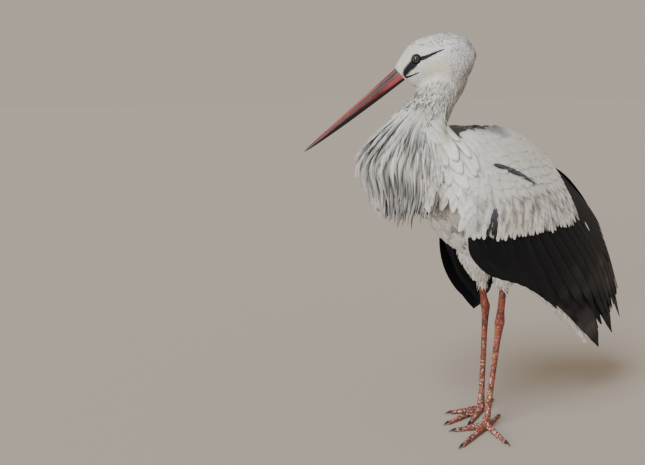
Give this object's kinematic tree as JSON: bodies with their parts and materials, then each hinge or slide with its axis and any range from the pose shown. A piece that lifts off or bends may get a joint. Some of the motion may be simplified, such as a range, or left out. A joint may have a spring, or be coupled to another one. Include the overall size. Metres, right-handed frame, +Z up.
{
  "type": "white stork",
  "caption": "Life-size still white stork standing on both feet with folded wings, its head turned to its right and its long bill pointing down.",
  "frame": {"origin": "on the floor, under the middle of the bird's bounding box", "axes": "+Z up, the bird's trunk faces -Y, its left side is +X; its head and bill turn 36 degrees towards -X"},
  "size_m": [0.2638, 0.7132, 0.7788],
  "materials": {
    "plumage_white": "matte feathers",
    "plumage_black": "satin feathers",
    "bill_red": "smooth horn",
    "leg_red": "scaly skin",
    "claw_black": "horn",
    "eye_dark": "wet gloss"
  },
  "bodies": {
    "root": {"head": "plumage_white", "neck_upper": "plumage_white", "neck_lower": "plumage_white", "foreneck_plumes": "plumage_white", "trunk": "plumage_white", "tail": "plumage_white", "wing_left_coverts": "plumage_white", "wing_right_coverts": "plumage_white", "thigh_left": "plumage_white", "thigh_right": "plumage_white", "wing_left_secondaries": "plumage_black", "wing_left_primaries": "plumage_black", "wing_right_secondaries": "plumage_black", "wing_right_primaries": "plumage_black", "bill_upper": "bill_red", "bill_lower": "bill_red", "shank_left": "leg_red", "shank_right": "leg_red", "tarsus_left": "leg_red", "tarsus_right": "leg_red", "foot_left": "leg_red", "foot_right": "leg_red", "claw_middle_left": "claw_black", "claw_outer_left": "claw_black", "claw_inner_left": "claw_black", "claw_hind_left": "claw_black", "claw_middle_right": "claw_black", "claw_outer_right": "claw_black", "claw_inner_right": "claw_black", "claw_hind_right": "claw_black", "eye_left": "eye_dark", "eye_right": "eye_dark"}
  },
  "joints": []
}
